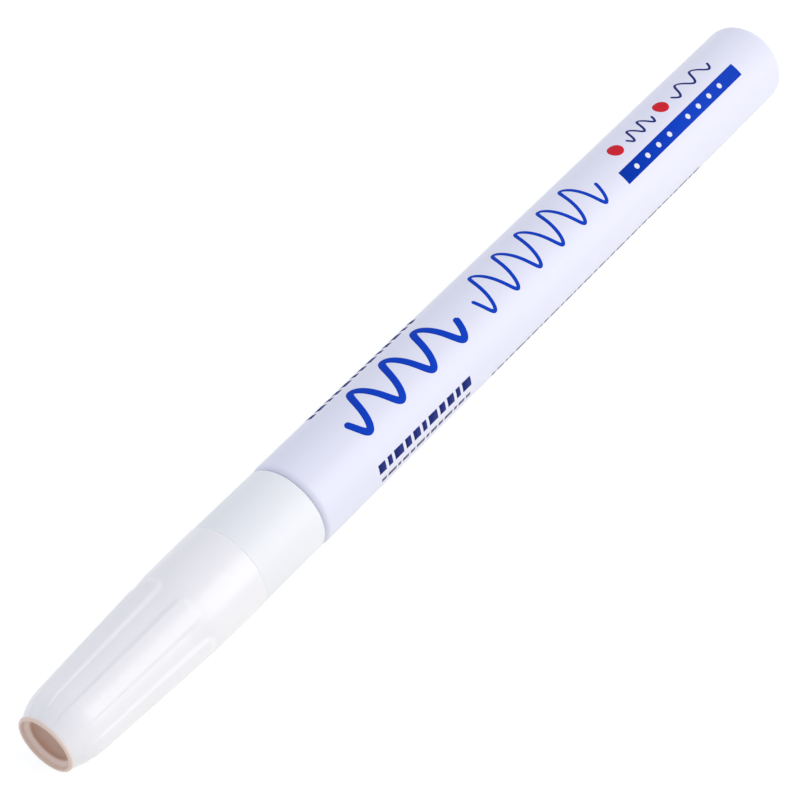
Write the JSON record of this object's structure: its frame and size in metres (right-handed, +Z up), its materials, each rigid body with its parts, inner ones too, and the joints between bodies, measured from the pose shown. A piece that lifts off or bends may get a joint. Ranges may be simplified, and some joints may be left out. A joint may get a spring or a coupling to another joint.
{
  "type": "paint marker",
  "caption": "Capped valve-action paint marker: closed painted barrel, moulded front collar, tapered ribbed cap with a lined end, sprung nib valve and a loose mixing ball.",
  "frame": {"origin": "on the surface that the marker lies on, under the middle of its length", "axes": "+X along the marker towards the barrel's base, with the cap at -X; +Z up"},
  "size_m": [0.146, 0.012, 0.012],
  "materials": {
    "barrel_paint": "white gloss enamel on drawn aluminium",
    "collar_white": "smooth moulded white",
    "cap_white": "smooth moulded white",
    "liner_tan": "moulded tan",
    "nose_white": "moulded white",
    "nib_fibre": "bonded fibre",
    "valve_plastic": "natural moulded plastic",
    "seal_rubber": "matt black rubber",
    "spring_steel": "drawn wire",
    "ball_steel": "polished ball"
  },
  "bodies": {
    "pen": {"barrel_tube": "barrel_paint", "front_collar": "collar_white", "nose_cone": "nose_white", "barrel_gasket": "seal_rubber", "valve_seat": "seal_rubber", "valve_cage": "valve_plastic", "valve_spring": "spring_steel"},
    "cap": {"cap_shell": "cap_white", "inner_cap": "liner_tan"},
    "nib_unit": {"nib": "nib_fibre", "valve_stem": "valve_plastic"},
    "ball": {"mixing_ball": "ball_steel"}
  },
  "joints": [
    {"name": "cap_pull", "type": "slide", "parent": "pen", "child": "cap", "axis": [-1, 0, 0], "range_m": [0, 0.04]},
    {"name": "nib_press", "type": "slide", "parent": "pen", "child": "nib_unit", "axis": [1, 0, 0], "range_m": [0, 0.0018], "stiffness_N_per_m": 600, "springref_m": -0.002, "deforming": ["valve_spring"]},
    {"name": "ball_roll", "type": "slide", "parent": "pen", "child": "ball", "axis": [-1, 0, 0], "range_m": [0, 0.078]}
  ]
}
